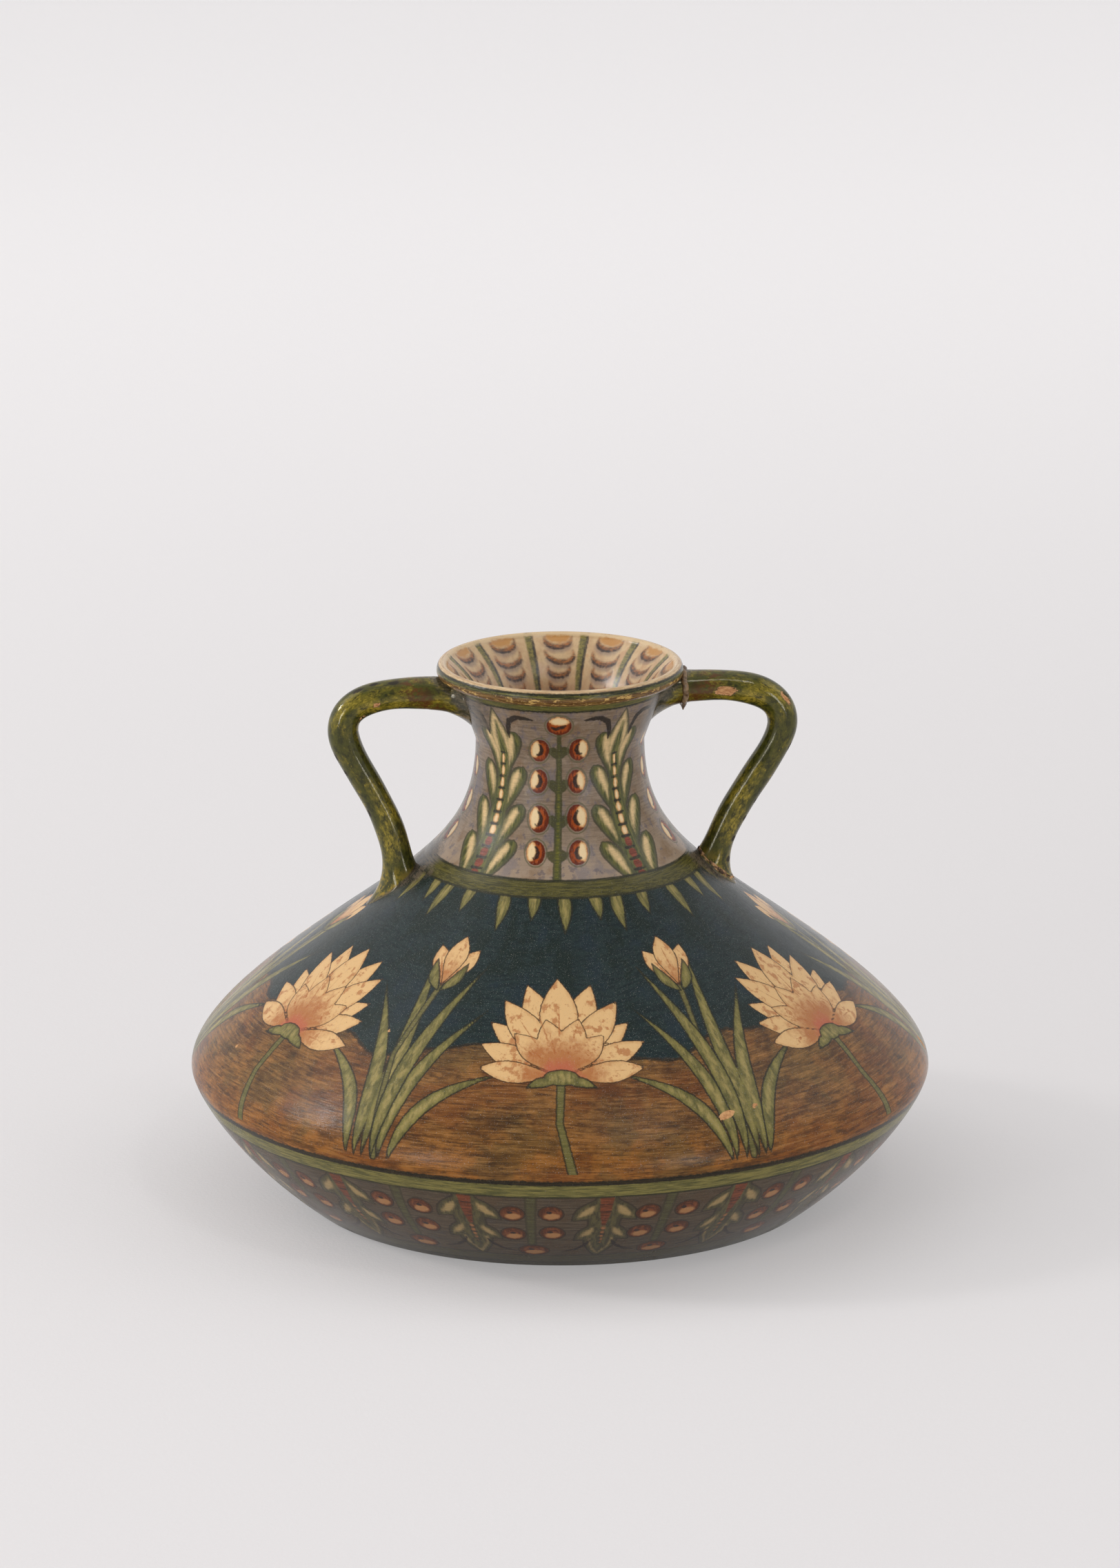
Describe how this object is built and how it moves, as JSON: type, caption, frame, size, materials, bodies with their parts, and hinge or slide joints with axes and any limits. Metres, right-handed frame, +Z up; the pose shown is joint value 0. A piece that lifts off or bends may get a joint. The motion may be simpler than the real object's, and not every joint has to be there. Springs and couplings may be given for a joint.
{
  "type": "two-handled ceramic vase",
  "caption": "Squat ceramic vase with a wide body, narrow waisted neck, flared mouth with a rolled rim, and round pulled handles from rim to shoulder, painted under a clear glaze.",
  "frame": {"origin": "centre of the foot, on the surface that the vase stands on", "axes": "+Z up along the turning axis; the two handles stand along X, the left one at -X, and the painted front faces -Y"},
  "size_m": [0.24, 0.24, 0.176],
  "materials": {
    "brown_glaze": "gloss",
    "teal_glaze": "gloss",
    "taupe_glaze": "gloss",
    "olive_glaze": "gloss",
    "fired_slip": "matte",
    "repair_glue": "gloss"
  },
  "bodies": {
    "root": {"lower_body": "brown_glaze", "belly_slip_joint": "fired_slip", "upper_body": "teal_glaze", "neck_slip_joint": "fired_slip", "neck": "taupe_glaze", "left_handle": "olive_glaze", "right_handle": "olive_glaze", "left_upper_lute": "olive_glaze", "left_lower_lute": "olive_glaze", "right_upper_lute": "olive_glaze", "right_lower_lute": "olive_glaze", "upper_glue_bead": "repair_glue", "lower_glue_seam": "repair_glue"}
  },
  "joints": []
}
